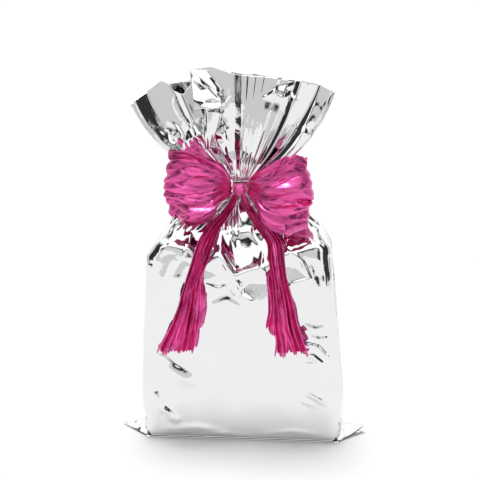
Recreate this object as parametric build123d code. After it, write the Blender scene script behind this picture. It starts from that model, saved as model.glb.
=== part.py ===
# Filled foil gift bag, tied at the neck with a bow of crinkled paper ribbon.
#
# Frame: millimetres, +Z up, the bag's front towards -Y, origin at the centre of the underside.
# The flat bag is two film panels welded at the sides and the bottom. Filled with a carton, its bottom
# corners lie out flat as two triangular ears, its neck is gathered in the tie, and its mouth fans out.

from build123d import *

import os

# Flat bag and film
FLAT_WIDTH = 250.0  # bag laid flat, weld to weld
FILM = 1.0  # stand-in thickness of the film shells
WELD_REACH = 2.5  # how far a side weld stands out of the film
WELD_THICK = 1.0
BOTTOM_WELD_WIDTH = 5.0
BOTTOM_WELD_THICK = 0.5

# Tie
NECK_X = -2.5  # the filled bag leans a little to its left
NECK_Z_LOW = 246.0
NECK_Z_HIGH = 259.0
NECK_R = 6.5  # gathered film inside the tie
NECK_FLARE_R = 7.4  # where the gathered film meets the bag and the ruffle
NECK_FLARE_Z = 1.6
WRAP_R_IN = 6.8
WRAP_R_OUT = 9.0
WRAP_GAP_Z = 1.8

# Filled body: height, centre x, width, depth, corner radius, inset of the inner face
BODY_SECTIONS = [
    (0.0, 0.0, 196.0, 54.0, 8.0, FILM),
    (14.0, -0.5, 202.0, 60.0, 16.0, FILM),
    (36.0, -1.5, 205.0, 64.0, 22.0, FILM),
    (120.0, -2.8, 191.0, 66.0, 24.0, FILM),
    (186.0, -3.4, 179.0, 61.0, 24.0, FILM),
    (195.0, -0.8, 173.0, 60.0, 24.0, FILM),
    (201.0, 0.4, 168.0, 55.0, 23.0, 1.2),
    (215.0, 1.2, 150.0, 44.0, 20.0, 1.6),
    (230.0, -0.6, 120.0, 32.0, 15.0, 2.0),
    (240.0, -1.8, 66.0, 22.0, 10.0, 2.5),
    (NECK_Z_LOW, NECK_X, 16.0, 15.0, 7.4, 2.5),
]
# Open ruffle above the tie, in the same terms
RUFFLE_SECTIONS = [
    (NECK_Z_HIGH, NECK_X, 16.0, 15.0, 7.4, 2.5),
    (275.0, -5.0, 66.0, 24.0, 11.0, 2.2),
    (292.0, -7.5, 134.0, 36.0, 16.0, 2.0),
    (318.0, -10.8, 173.0, 46.0, 20.0, 1.4),
    (345.0, -12.4, 192.0, 54.0, 24.0, FILM),
    (370.0, -13.0, 204.0, 58.0, 26.0, FILM),
]
RUFFLE_TOP_Z = 368.0  # the cut edge of the mouth is an arch
RUFFLE_ARCH_R = 160.0
RUFFLE_ARCH_X = -13.0

# Ears: the folded bottom corners
EAR_THICK = 1.6
EAR_ROOT_X = 97.6
EAR_ROOT_HALF_DEPTH = 26.0

# Carton inside
CARTON_X = -4.5
CARTON_WIDTH = 156.0
CARTON_DEPTH = 44.0
CARTON_HEIGHT = 176.0
CARTON_Z = 1.2
BOARD = 1.5
LID_DEPTH = 24.0
LID_PLAY = 0.3

# Bow
RIBBON = 1.2
KNOT_HALF_WIDTH = 6.5
KNOT_FRONT_Y = -22.0
KNOT_BACK_Y = -8.0
KNOT_Z_LOW = 247.0
KNOT_Z_HIGH = 258.0
KNOT_FILLET = 2.5
ROOT_R = 2.0  # rolled ribbon where a loop or a tail enters the knot
ROOT_CLEAR = 0.4
LOOP_PIVOT_REACH = 8.0
LOOP_PIVOT_Y = -16.0
LOOP_ROOT_Z = (249.0, 257.0)
TAIL_PIVOT_Y = -17.0
TAIL_PIVOT_Z = 246.2
TAIL_ROOT_GAP = 0.6  # half the gap between the two tail roots
TAIL_THICK = 1.6

# Loop outlines seen from the front, x and z, from the knot round the top edge to the lower edge
LEFT_LOOP_OUTLINE = [
    (-10.0, 257.0), (-17.5, 270.0), (-31.0, 281.5), (-49.0, 289.5), (-67.5, 292.0), (-71.6, 258.0),
    (-69.5, 244.0), (-66.5, 226.5), (-37.0, 232.5), (-19.5, 243.0), (-10.0, 248.0),
]
RIGHT_LOOP_OUTLINE = [
    (5.0, 257.0), (17.0, 269.5), (31.0, 276.6), (45.0, 285.5), (57.5, 287.0), (66.0, 262.0),
    (65.5, 246.0), (61.5, 217.0), (38.0, 219.5), (21.0, 232.0), (10.0, 245.0), (5.0, 248.0),
]
# Tail outlines: height, left edge, right edge
LEFT_TAIL_ROWS = [
    (247.0, -8.8, -3.2), (237.0, -14.5, -6.5), (215.0, -35.0, -20.5), (192.6, -45.0, -29.0),
    (170.4, -52.0, -36.5), (148.0, -59.5, -34.5), (129.0, -66.0, -35.5), (102.5, -78.5, -43.5),
    (93.0, -82.5, -46.0),
]
RIGHT_TAIL_ROWS = [
    (247.0, -1.8, 3.8), (237.0, 0.8, 8.2), (226.0, 7.0, 17.5), (215.0, 15.0, 30.0), (192.6, 25.9, 42.0),
    (170.0, 29.8, 44.2), (147.0, 28.0, 50.0), (122.0, 24.5, 56.5), (109.7, 29.0, 60.0), (93.0, 32.0, 66.5),
]
# Rear face of a hanging tail seen from the side, y and z: down over the shoulder, then the front
TAIL_DRAPE = [(-16.4, 247.4), (-17.6, 228.0), (-24.2, 212.0), (-32.0, 193.0), (-34.6, 180.0), (-34.6, 90.0)]

FAR = 200.0  # longer than any cut needs


def rounded_loft(sections, inset_share, first_z=None):
    """A ruled loft through rounded rectangles; inset_share 0 is the outer face and 1 the inner."""
    faces = []
    for index, (z, x, width, depth, radius, inset) in enumerate(sections):
        step = inset * inset_share
        height = first_z if index == 0 and first_z is not None else z
        outline = RectangleRounded(width - 2 * step, depth - 2 * step, radius - step)
        faces.append(Pos(x, 0, height) * outline)
    return loft(faces, ruled=True)


def front_half():
    return Pos(0, -FAR, 0) * Box(4 * FAR, 2 * FAR, 6 * FAR)


def back_half():
    return Pos(0, FAR, 0) * Box(4 * FAR, 2 * FAR, 6 * FAR)


def plate_xz(points, y_low, y_high):
    """A prism whose outline is seen from the front."""
    outline = Plane.XZ * make_face(Polyline(*points, close=True))
    return Pos(0, y_high, 0) * extrude(outline, amount=y_high - y_low)


def plate_yz(points, x_low, x_high):
    """A prism whose outline is seen from the side."""
    outline = Plane.YZ * make_face(Polyline(*points, close=True))
    return Pos(x_low, 0, 0) * extrude(outline, amount=x_high - x_low)


def bottom_weld_bar(grow=0.0):
    length = FLAT_WIDTH - 8.0 + 2 * grow
    return Pos(0, 0, BOTTOM_WELD_THICK / 2) * Box(length, BOTTOM_WELD_WIDTH, BOTTOM_WELD_THICK)


def body_panels():
    outer = rounded_loft(BODY_SECTIONS, 0)
    inner = rounded_loft(BODY_SECTIONS, 1, first_z=FILM)
    shell = outer - inner - bottom_weld_bar()
    return outer, shell & front_half(), shell & back_half()


def ruffle_panels():
    outer = rounded_loft(RUFFLE_SECTIONS, 0)
    inner = rounded_loft(RUFFLE_SECTIONS, 1)
    arch_z = RUFFLE_TOP_Z - RUFFLE_ARCH_R
    arch = Pos(RUFFLE_ARCH_X, 0, arch_z) * Rot(90, 0, 0) * Cylinder(RUFFLE_ARCH_R, FAR)
    shell = (outer - inner) & arch
    return outer, arch, shell & front_half(), shell & back_half()


def ear(side):
    """One folded bottom corner: a flat triangle whose tip is the flat bag's corner."""
    root = side * EAR_ROOT_X
    points = [
        (root, -EAR_ROOT_HALF_DEPTH),
        (side * FLAT_WIDTH / 2, 0),
        (root, EAR_ROOT_HALF_DEPTH),
        (root - side * 6.0, EAR_ROOT_HALF_DEPTH),
        (root - side * 6.0, -EAR_ROOT_HALF_DEPTH),
    ]
    return extrude(make_face(Polyline(*points, close=True)), amount=EAR_THICK)


def edge_points(sections, side, reach):
    return [(x + side * (width / 2 + reach), z) for z, x, width, _, _, _ in sections]


def side_weld(sections, side, solid, z_low, z_high):
    """The welded margin that stands out of the film along one side."""
    outside = edge_points(sections, side, WELD_REACH)
    inside = edge_points(sections, side, -3.0)
    band = plate_xz(outside + inside[::-1], -WELD_THICK / 2, WELD_THICK / 2)
    keep = Pos(0, 0, (z_low + z_high) / 2) * Box(4 * FAR, FAR, z_high - z_low)
    return (band - solid) & keep


def ear_weld(side):
    """The side weld where it lies along the top of an ear."""
    low = 99.5
    high = FLAT_WIDTH / 2 - 3.0
    middle = side * (low + high) / 2
    return Pos(middle, 0, EAR_THICK + WELD_THICK / 2) * Box(high - low, WELD_REACH, WELD_THICK)


def gathered_neck():
    profile = [
        (0, NECK_Z_LOW),
        (NECK_FLARE_R, NECK_Z_LOW),
        (NECK_R, NECK_Z_LOW + NECK_FLARE_Z),
        (NECK_R, NECK_Z_HIGH - NECK_FLARE_Z),
        (NECK_FLARE_R, NECK_Z_HIGH),
        (0, NECK_Z_HIGH),
    ]
    face = Plane.XZ * make_face(Polyline(*profile, close=True))
    return Pos(NECK_X, 0, 0) * revolve(face, Axis.Z)


def neck_wrap():
    height = NECK_Z_HIGH - NECK_Z_LOW - 2 * WRAP_GAP_Z
    ring = Cylinder(WRAP_R_OUT, height) - Cylinder(WRAP_R_IN, height)
    return Pos(NECK_X, 0, (NECK_Z_LOW + NECK_Z_HIGH) / 2) * ring


def loop_root(side, radius):
    low, high = LOOP_ROOT_Z
    centre = (NECK_X + side * LOOP_PIVOT_REACH, LOOP_PIVOT_Y, (low + high) / 2)
    return Pos(*centre) * Cylinder(radius, high - low + 2 * (radius - ROOT_R))


def tail_root(side, radius):
    length = KNOT_HALF_WIDTH - TAIL_ROOT_GAP
    centre = (NECK_X + side * (TAIL_ROOT_GAP + length / 2), TAIL_PIVOT_Y, TAIL_PIVOT_Z)
    return Pos(*centre) * Rot(0, 90, 0) * Cylinder(radius, length)


def knot():
    size = (2 * KNOT_HALF_WIDTH, KNOT_BACK_Y - KNOT_FRONT_Y, KNOT_Z_HIGH - KNOT_Z_LOW)
    centre = (NECK_X, (KNOT_BACK_Y + KNOT_FRONT_Y) / 2, (KNOT_Z_LOW + KNOT_Z_HIGH) / 2)
    block = Pos(*centre) * Box(*size)
    block = fillet(block.edges().filter_by(Axis.X), KNOT_FILLET)
    block -= Pos(NECK_X, 0, centre[2]) * Cylinder(WRAP_R_OUT + 0.05, 2 * size[2])
    for side in (-1, 1):
        pivot = (NECK_X + side * LOOP_PIVOT_REACH, LOOP_PIVOT_Y, centre[2])
        block -= Pos(*pivot) * Cylinder(ROOT_R + ROOT_CLEAR, 2 * size[2])
    groove = Rot(0, 90, 0) * Cylinder(ROOT_R + ROOT_CLEAR, 4 * KNOT_HALF_WIDTH)
    return block - Pos(NECK_X, TAIL_PIVOT_Y, TAIL_PIVOT_Z) * groove


def lens(start, front, end, back):
    """A pointed oval seen from above, from two arcs that share their ends."""
    sides = ThreePointArc(start, front, end) + ThreePointArc(end, back, start)
    return make_face(sides)


def loop(side, outline):
    """One bow loop: a ribbon that leaves the knot, turns at its far end and comes back behind."""
    pivot_x = NECK_X + side * LOOP_PIVOT_REACH
    far_x = min(x for x, _ in outline) if side < 0 else max(x for x, _ in outline)
    middle_x = (pivot_x + far_x) / 2
    low, high = 200.0, 300.0
    outer = lens((pivot_x, -16), (middle_x, -42), (far_x, -31), (middle_x, -19.6))
    inner_start = (pivot_x + side * 4.5, -18.2)
    inner_end = (far_x - side * 2.4, -30.6)
    inner = lens(inner_start, (middle_x, -42 + RIBBON), inner_end, (middle_x, -19.6 - RIBBON))
    ring = Pos(0, 0, low) * extrude(outer - inner, amount=high - low)
    return (ring & plate_xz(outline, -60, 0)) + loop_root(side, ROOT_R)


def tail(side, rows):
    """One hanging end of the ribbon, which widens where it is cut."""
    outline = [(left, z) for z, left, _ in rows] + [(right, z) for z, _, right in rows[::-1]]
    front_line = [(y - TAIL_THICK, z) for y, z in TAIL_DRAPE[::-1]]
    sheet = plate_yz(TAIL_DRAPE + front_line, -FAR, FAR)
    return (sheet & plate_xz(outline, -60, 0)) + tail_root(side, ROOT_R)


def carton_tray():
    outside = Box(CARTON_WIDTH, CARTON_DEPTH, CARTON_HEIGHT)
    inside = Pos(0, 0, BOARD) * Box(CARTON_WIDTH - 2 * BOARD, CARTON_DEPTH - 2 * BOARD, CARTON_HEIGHT)
    rim_height = LID_DEPTH + BOARD
    rim = Box(CARTON_WIDTH + 1, CARTON_DEPTH + 1, rim_height)
    shrink = 2 * (BOARD + LID_PLAY)
    rim -= Box(CARTON_WIDTH - shrink, CARTON_DEPTH - shrink, rim_height)
    tray = outside - inside - Pos(0, 0, CARTON_HEIGHT / 2 - rim_height / 2) * rim
    return Pos(CARTON_X, 0, CARTON_Z + CARTON_HEIGHT / 2) * tray


def carton_lid():
    outside = Box(CARTON_WIDTH, CARTON_DEPTH, LID_DEPTH)
    inside = Pos(0, 0, -BOARD) * Box(CARTON_WIDTH - 2 * BOARD, CARTON_DEPTH - 2 * BOARD, LID_DEPTH)
    top_z = CARTON_Z + CARTON_HEIGHT + BOARD + 0.3
    return Pos(CARTON_X, 0, top_z - LID_DEPTH / 2) * (outside - inside)


def build():
    body, front_panel, back_panel = body_panels()
    ruffle, arch, front_ruffle, back_ruffle = ruffle_panels()
    weld_top = NECK_Z_LOW - 8.0
    parts = {
        "front_film_panel": front_panel,
        "back_film_panel": back_panel,
        "bottom_weld": bottom_weld_bar(),
        "gathered_neck": gathered_neck(),
        "front_ruffle": front_ruffle,
        "back_ruffle": back_ruffle,
        "ribbon_neck_wrap": neck_wrap(),
        "bow_knot": knot(),
        "left_bow_loop": loop(-1, LEFT_LOOP_OUTLINE),
        "right_bow_loop": loop(1, RIGHT_LOOP_OUTLINE),
        "left_ribbon_tail": tail(-1, LEFT_TAIL_ROWS),
        "right_ribbon_tail": tail(1, RIGHT_TAIL_ROWS),
        "carton_tray": carton_tray(),
        "carton_lid": carton_lid(),
    }
    for name, side in (("left", -1), ("right", 1)):
        parts[f"{name}_bottom_ear"] = ear(side) - body - bottom_weld_bar()
        lower = side_weld(BODY_SECTIONS, side, body, EAR_THICK + WELD_THICK + 0.2, weld_top)
        parts[f"{name}_side_weld"] = lower
        parts[f"{name}_ear_weld"] = ear_weld(side) - body - lower
        upper = side_weld(RUFFLE_SECTIONS, side, ruffle, NECK_Z_HIGH + 8.0, FAR * 2)
        parts[f"{name}_mouth_weld"] = upper & arch
    return parts


os.makedirs("parts", exist_ok=True)
for node, shape in build().items():
    export_step(shape, f"parts/{node}.step")
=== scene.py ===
"""Looks of the foil gift bag: creased mirror film, a crinkled paper bow, and a plain bright studio."""
import math

import bpy
import numpy as np
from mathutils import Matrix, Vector, geometry


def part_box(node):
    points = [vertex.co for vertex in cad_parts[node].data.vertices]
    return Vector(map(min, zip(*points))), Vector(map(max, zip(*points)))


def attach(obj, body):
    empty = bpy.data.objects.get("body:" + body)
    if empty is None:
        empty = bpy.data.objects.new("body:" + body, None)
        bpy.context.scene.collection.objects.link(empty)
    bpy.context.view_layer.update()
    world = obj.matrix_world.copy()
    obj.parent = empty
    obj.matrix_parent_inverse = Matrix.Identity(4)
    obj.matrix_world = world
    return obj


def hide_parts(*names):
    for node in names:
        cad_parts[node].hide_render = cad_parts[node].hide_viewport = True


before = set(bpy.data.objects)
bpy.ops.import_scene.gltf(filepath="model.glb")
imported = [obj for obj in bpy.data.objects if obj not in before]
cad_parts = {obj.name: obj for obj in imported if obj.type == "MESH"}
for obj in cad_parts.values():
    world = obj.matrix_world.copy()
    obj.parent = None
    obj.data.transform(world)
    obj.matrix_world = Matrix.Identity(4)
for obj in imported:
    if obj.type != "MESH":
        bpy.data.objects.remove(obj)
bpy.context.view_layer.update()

MM = 0.001

# ---------------------------------------------------------------- places read from the frame (mm)
NECK_LOW, NECK_HIGH = (np.array(corner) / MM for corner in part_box("gathered_neck"))
NECK_X = float(NECK_LOW[0] + NECK_HIGH[0]) / 2
NECK_Z0, NECK_Z1 = float(NECK_LOW[2]), float(NECK_HIGH[2])
KNOT_LOW, KNOT_HIGH = (np.array(corner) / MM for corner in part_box("bow_knot"))
EAR_TIP = float(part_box("right_bottom_ear")[1][0]) / MM


# ---------------------------------------------------------------- small tools
def smooth_curve(at, xs, ys):
    """Cubic interpolation through the points, with slopes that never overshoot."""
    at, xs, ys = np.asarray(at, float), np.asarray(xs, float), np.asarray(ys, float)
    steps = np.diff(ys) / np.diff(xs)
    slopes = np.empty_like(ys)
    slopes[0], slopes[-1] = steps[0], steps[-1]
    same_way = steps[:-1] * steps[1:] > 0
    mean = 2 * steps[:-1] * steps[1:] / np.where(same_way, steps[:-1] + steps[1:], 1)
    slopes[1:-1] = np.where(same_way, mean, 0)
    k = np.clip(np.searchsorted(xs, at) - 1, 0, len(xs) - 2)
    h = xs[k + 1] - xs[k]
    t = np.clip((at - xs[k]) / h, 0, 1)
    a = (1 + 2 * t) * (1 - t) ** 2 * ys[k] + t * t * (3 - 2 * t) * ys[k + 1]
    return a + t * (1 - t) ** 2 * h * slopes[k] - t * t * (1 - t) * h * slopes[k + 1]


def step(low, high, value):
    """0 below low, 1 above high, smooth between; low may be the larger."""
    t = np.clip((np.asarray(value, float) - low) / (high - low), 0, 1)
    return t * t * (3 - 2 * t)


def blur(grid, rows=0.0, columns=0.0):
    """Gaussian blur of a 2-D grid, in cells."""
    for axis, sigma in ((0, rows), (1, columns)):
        if sigma <= 0:
            continue
        reach = int(3 * sigma + 1)
        kernel = np.exp(-0.5 * (np.arange(-reach, reach + 1) / sigma) ** 2)
        kernel /= kernel.sum()
        pad = [(reach, reach) if a == axis else (0, 0) for a in range(grid.ndim)]
        padded = np.pad(grid, pad, mode="edge")
        size = grid.shape[axis]
        shifted = (np.take(padded, np.arange(i, i + size), axis=axis) for i in range(len(kernel)))
        grid = sum(weight * part for weight, part in zip(kernel, shifted))
    return grid


def facets(u, v, points):
    """Flat facets between scattered (u, v, height) points: what creased film does."""
    points = np.asarray(points, float)
    cdt = geometry.delaunay_2d_cdt([Vector(p[:2]) for p in points], [], [], 0, 1e-6)
    corners = np.array([list(p) for p in cdt[0]])
    heights = np.array([points[ids[0], 2] for ids in cdt[3]])
    out = np.zeros(np.shape(u))
    for a, b, c in (face for face in cdt[2] if len(face) == 3):
        (ax, ay), (bx, by), (cx, cy) = corners[a], corners[b], corners[c]
        area = (by - cy) * (ax - cx) + (cx - bx) * (ay - cy)
        if abs(area) < 1e-9:
            continue
        wa = ((by - cy) * (u - cx) + (cx - bx) * (v - cy)) / area
        wb = ((cy - ay) * (u - cx) + (ax - cx) * (v - cy)) / area
        wc = 1 - wa - wb
        inside = (wa >= -1e-6) & (wb >= -1e-6) & (wc >= -1e-6)
        height = wa * heights[a] + wb * heights[b] + wc * heights[c]
        out = np.where(inside, height, out)
    return out


def scattered(seed, u_range, v_range, cell, height):
    """Jittered points over a rectangle, for facets()."""
    rng = np.random.default_rng(seed)
    points = []
    for u in np.arange(u_range[0] - cell, u_range[1] + 2 * cell, cell):
        for v in np.arange(v_range[0] - cell, v_range[1] + 2 * cell, cell):
            du, dv = rng.uniform(-0.42, 0.42, 2) * cell
            points.append((u + du, v + dv, rng.uniform(-height, height)))
    return points


def creased(seed, u, v, u_range, v_range, cell, height=1.0):
    """Facets about a cell wide, over a rectangle; they stand between -height and height."""
    u, v = np.broadcast_arrays(u, v)
    return facets(u, v, scattered(seed, u_range, v_range, cell, height))


def waves(seed, u, v, length, count=5):
    """Smooth undulation of about unit height, from a few sines of about that wavelength."""
    rng = np.random.default_rng(seed)
    total = np.zeros(np.broadcast(u, v).shape)
    for _ in range(count):
        turn, size, shift = rng.uniform(0, math.pi), rng.uniform(0.7, 1.5), rng.uniform(0, 6.28)
        total += np.sin((u * math.cos(turn) + v * math.sin(turn)) * 6.28 / (length * size) + shift)
    return total / math.sqrt(count)


def zigzag(x):
    """Triangle wave between -1 and 1, one period per unit."""
    return 4 * np.abs((x % 1.0) - 0.5) - 1


def normals(grid):
    """Unit normals of a grid of points."""
    n = np.cross(np.gradient(grid, axis=1), np.gradient(grid, axis=0))
    return n / np.maximum(np.linalg.norm(n, axis=2, keepdims=True), 1e-9)


# ---------------------------------------------------------------- meshes
def grid_faces(rows, columns, offset=0, flip=False):
    i, j = np.meshgrid(np.arange(rows - 1), np.arange(columns - 1), indexing="ij")
    a = (i * columns + j + offset).ravel()
    quads = np.stack([a, a + 1, a + columns + 1, a + columns], axis=1)
    return quads[:, ::-1] if flip else quads


def mesh_of(name, grids, flips=None):
    """One object from grids of points in mm; each grid's rows and columns become its UVs."""
    flips = flips or [False] * len(grids)
    points, faces, uv, offset = [], [], [], 0
    for grid, flip in zip(grids, flips):
        rows, columns = grid.shape[:2]
        points.append(grid.reshape(-1, 3))
        faces.append(grid_faces(rows, columns, offset, flip))
        v, u = np.meshgrid(np.linspace(0, 1, rows), np.linspace(0, 1, columns), indexing="ij")
        uv.append(np.stack([u.ravel(), v.ravel()], axis=1))
        offset += rows * columns
    points, faces, uv = np.concatenate(points) * MM, np.concatenate(faces), np.concatenate(uv)
    mesh = bpy.data.meshes.new(name)
    mesh.from_pydata(points.tolist(), [], faces.tolist())
    layer = mesh.uv_layers.new(name="Along")
    layer.data.foreach_set("uv", uv[faces.ravel()].astype(np.float32).ravel())
    mesh.polygons.foreach_set("use_smooth", [True] * len(mesh.polygons))
    obj = bpy.data.objects.new(name, mesh)
    bpy.context.scene.collection.objects.link(obj)
    return obj


def thicken(obj, thickness):
    """Gives a sheet its thickness, in mm, closed at the rim."""
    solid = obj.modifiers.new("Thickness", "SOLIDIFY")
    solid.thickness, solid.offset, solid.use_even_offset = thickness * MM, 0.0, False
    return obj


def finish_piece(obj, body, nodes, slot, material):
    """Material and body, and hides the CAD nodes it stands for. The ribbon keeps its flat facets."""
    if slot == "ribbon":
        obj.data.polygons.foreach_set("use_smooth", [False] * len(obj.data.polygons))
    obj.data.materials.append(material)
    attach(obj, body)
    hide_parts(*nodes)
    return obj


# ---------------------------------------------------------------- camera and studio
CAMERA_DISTANCE, CAMERA_HEIGHT = 0.860, 0.382
CAMERA_AZIMUTH, CAMERA_PITCH = math.radians(4.5), math.radians(12.0)
SENSOR_WIDTH, LENS = 36.0, 66.7
AIM_X = -0.0035
BACKDROP = 1.05  # brightness of the backdrop as the camera sees it
STUDIO_LIGHT = 1.22  # strength of the light from all round and of what the film mirrors
ALL_ROUND = 0.29  # grey of the light from all round
SUN_STRENGTH, SUN_ANGLE = 2.4, math.radians(24)
SUN_TURN = (math.radians(-6), math.radians(-3), 0)
TABLE_WHITE, TABLE_ROUGHNESS = 0.93, 0.6
TABLE_SIDE, TABLE_FRONT, TABLE_BACK = 1.10, -1.2, 0.8

# What the film mirrors, in rings from the table upwards. Each ring is a list of (degrees away from the
# camera's side, brightness): screens, dark gaps, and a light stand at the object's side.
BESIDE_TABLE = [
    (0, 0.75), (46, 0.75), (53, 0.03), (76, 0.03), (82, 0.7), (94, 0.7), (97, 0.03), (103, 0.03),
    (110, 0.75),
]
# Right of the camera, on the positive side, a doorway is dark
TABLE_END = [
    (-180, 0.80), (-108, 0.80), (-103, 0.03), (-98, 0.03), (-94, 0.7), (-82, 0.7), (-76, 0.03),
    (-53, 0.03), (-48, 0.9), (-38, 0.9), (-33, 0.58), (0, 0.58), (14, 0.60), (17, 0.03), (30, 0.03),
    (36, 0.9), (46, 0.9), (52, 0.03), (76, 0.03), (82, 0.7), (94, 0.7), (98, 0.03), (103, 0.03),
    (108, 0.80), (180, 0.80),
]
DARK_ROOM = [
    (0, 0.012), (31, 0.02), (37, 0.9), (46, 0.9), (52, 0.02), (76, 0.02), (82, 0.75), (94, 0.75),
    (98, 0.02), (103, 0.02), (108, 0.85),
]
SOFTBOXES = [
    (0, 1), (46, 1), (52, 0.03), (78, 0.03), (84, 0.8), (94, 0.8), (98, 0.03), (103, 0.03),
    (108, 0.97),
]
OVERHEAD = [(0, 1), (180, 1)]
# Elevations, in degrees, between which each ring gives way to the next
TO_TABLE_END, TO_ROOM, TO_SOFTBOXES, TO_OVERHEAD = (-24, -18), (3.5, 6.5), (11, 13.5), (54, 60)


def add_camera():
    data = bpy.data.cameras.new("camera")
    data.sensor_width, data.lens = SENSOR_WIDTH, LENS
    data.clip_start, data.clip_end = 0.01, 100
    camera = bpy.data.objects.new("camera", data)
    x = AIM_X + CAMERA_DISTANCE * math.sin(CAMERA_AZIMUTH)
    camera.location = (x, -CAMERA_DISTANCE * math.cos(CAMERA_AZIMUTH), CAMERA_HEIGHT)
    camera.rotation_euler = (math.radians(90) - CAMERA_PITCH, 0, CAMERA_AZIMUTH)
    bpy.context.scene.collection.objects.link(camera)
    bpy.context.scene.camera = camera


def add_world():
    """White for the camera, even light on the table, and for the film the rings above."""
    world = bpy.data.worlds.new("studio")
    bpy.context.scene.world = world
    world.use_nodes = True
    tree = world.node_tree
    tree.nodes.clear()
    new, link = tree.nodes.new, tree.links.new

    def math_node(kind, *inputs):
        node = new("ShaderNodeMath")
        node.operation = kind
        for i, value in enumerate(inputs):
            if isinstance(value, (int, float)):
                node.inputs[i].default_value = value
            else:
                link(value, node.inputs[i])
        return node.outputs[0]

    def ramp(value, stops):
        node = new("ShaderNodeValToRGB")
        link(value, node.inputs[0])
        elements = node.color_ramp.elements
        while len(elements) > 1:
            elements.remove(elements[-1])
        elements[0].position, elements[0].color = stops[0][0], (stops[0][1],) * 3 + (1,)
        for place, grey in stops[1:]:
            elements.new(place).color = (grey,) * 3 + (1,)
        return node.outputs[0]

    def mix(share, under, over):
        node = new("ShaderNodeMix")
        node.data_type = "RGBA"
        link(share, node.inputs["Factor"])
        for name, colour in (("A", under), ("B", over)):
            if isinstance(colour, tuple):
                node.inputs[name].default_value = colour
            else:
                link(colour, node.inputs[name])
        return node.outputs["Result"]

    direction = new("ShaderNodeTexCoord").outputs["Generated"]
    split = new("ShaderNodeSeparateXYZ")
    link(direction, split.inputs[0])
    x, y, z = split.outputs
    # 0 towards the camera's side, 1 towards the backdrop, the same on both sides
    around = math_node("ARCTAN2", x, math_node("MULTIPLY", y, -1.0))
    both_sides = math_node("DIVIDE", math_node("ABSOLUTE", around), math.pi)
    each_side = math_node("ADD", math_node("DIVIDE", around, 2 * math.pi), 0.5)
    height = math_node("ADD", math_node("DIVIDE", math_node("ARCSINE", z), math.pi), 0.5)

    def ring(stops):
        return ramp(both_sides, [(degrees / 180, grey) for degrees, grey in stops])

    def above(elevations, under, over):
        """under below the first elevation, over above the second."""
        low, high = elevations
        share = ramp(height, [(0, 0), (low / 180 + 0.5, 0), (high / 180 + 0.5, 1), (1, 1)])
        return mix(share, under, over)

    table_end = ramp(each_side, [(0.5 + degrees / 360, grey) for degrees, grey in TABLE_END])
    seen_by_film = above(TO_TABLE_END, ring(BESIDE_TABLE), table_end)
    seen_by_film = above(TO_ROOM, seen_by_film, ring(DARK_ROOM))
    seen_by_film = above(TO_SOFTBOXES, seen_by_film, ring(SOFTBOXES))
    seen_by_film = above(TO_OVERHEAD, seen_by_film, ring(OVERHEAD))

    light_path = new("ShaderNodeLightPath")
    lit = new("ShaderNodeBackground")
    light = mix(light_path.outputs["Is Glossy Ray"], (ALL_ROUND,) * 3 + (1,), seen_by_film)
    link(light, lit.inputs["Color"])
    lit.inputs["Strength"].default_value = STUDIO_LIGHT
    backdrop = new("ShaderNodeBackground")
    backdrop.inputs["Color"].default_value = (1, 1, 1, 1)
    backdrop.inputs["Strength"].default_value = BACKDROP
    choose, output = new("ShaderNodeMixShader"), new("ShaderNodeOutputWorld")
    link(light_path.outputs["Is Camera Ray"], choose.inputs[0])
    link(lit.outputs[0], choose.inputs[1])
    link(backdrop.outputs[0], choose.inputs[2])
    link(choose.outputs[0], output.inputs[0])
    bpy.context.scene.view_settings.view_transform = "Standard"


def add_table_and_sun():
    mesh = bpy.data.meshes.new("floor")
    corners = [
        (-TABLE_SIDE, TABLE_FRONT, 0), (TABLE_SIDE, TABLE_FRONT, 0), (TABLE_SIDE, TABLE_BACK, 0),
        (-TABLE_SIDE, TABLE_BACK, 0),
    ]
    mesh.from_pydata(corners, [], [(0, 1, 2, 3)])
    floor = bpy.data.objects.new("floor", mesh)
    bpy.context.scene.collection.objects.link(floor)
    finish = Finish("white_table", {
        "Base Color": (TABLE_WHITE,) * 3 + (1,), "Roughness": TABLE_ROUGHNESS,
        "Specular IOR Level": 0.0,
    })
    mesh.materials.append(finish.material)
    data = bpy.data.lights.new("sun_soft", "SUN")
    data.energy, data.angle = SUN_STRENGTH, SUN_ANGLE
    sun = bpy.data.objects.new("sun_soft", data)
    sun.rotation_euler = SUN_TURN
    bpy.context.scene.collection.objects.link(sun)


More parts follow.
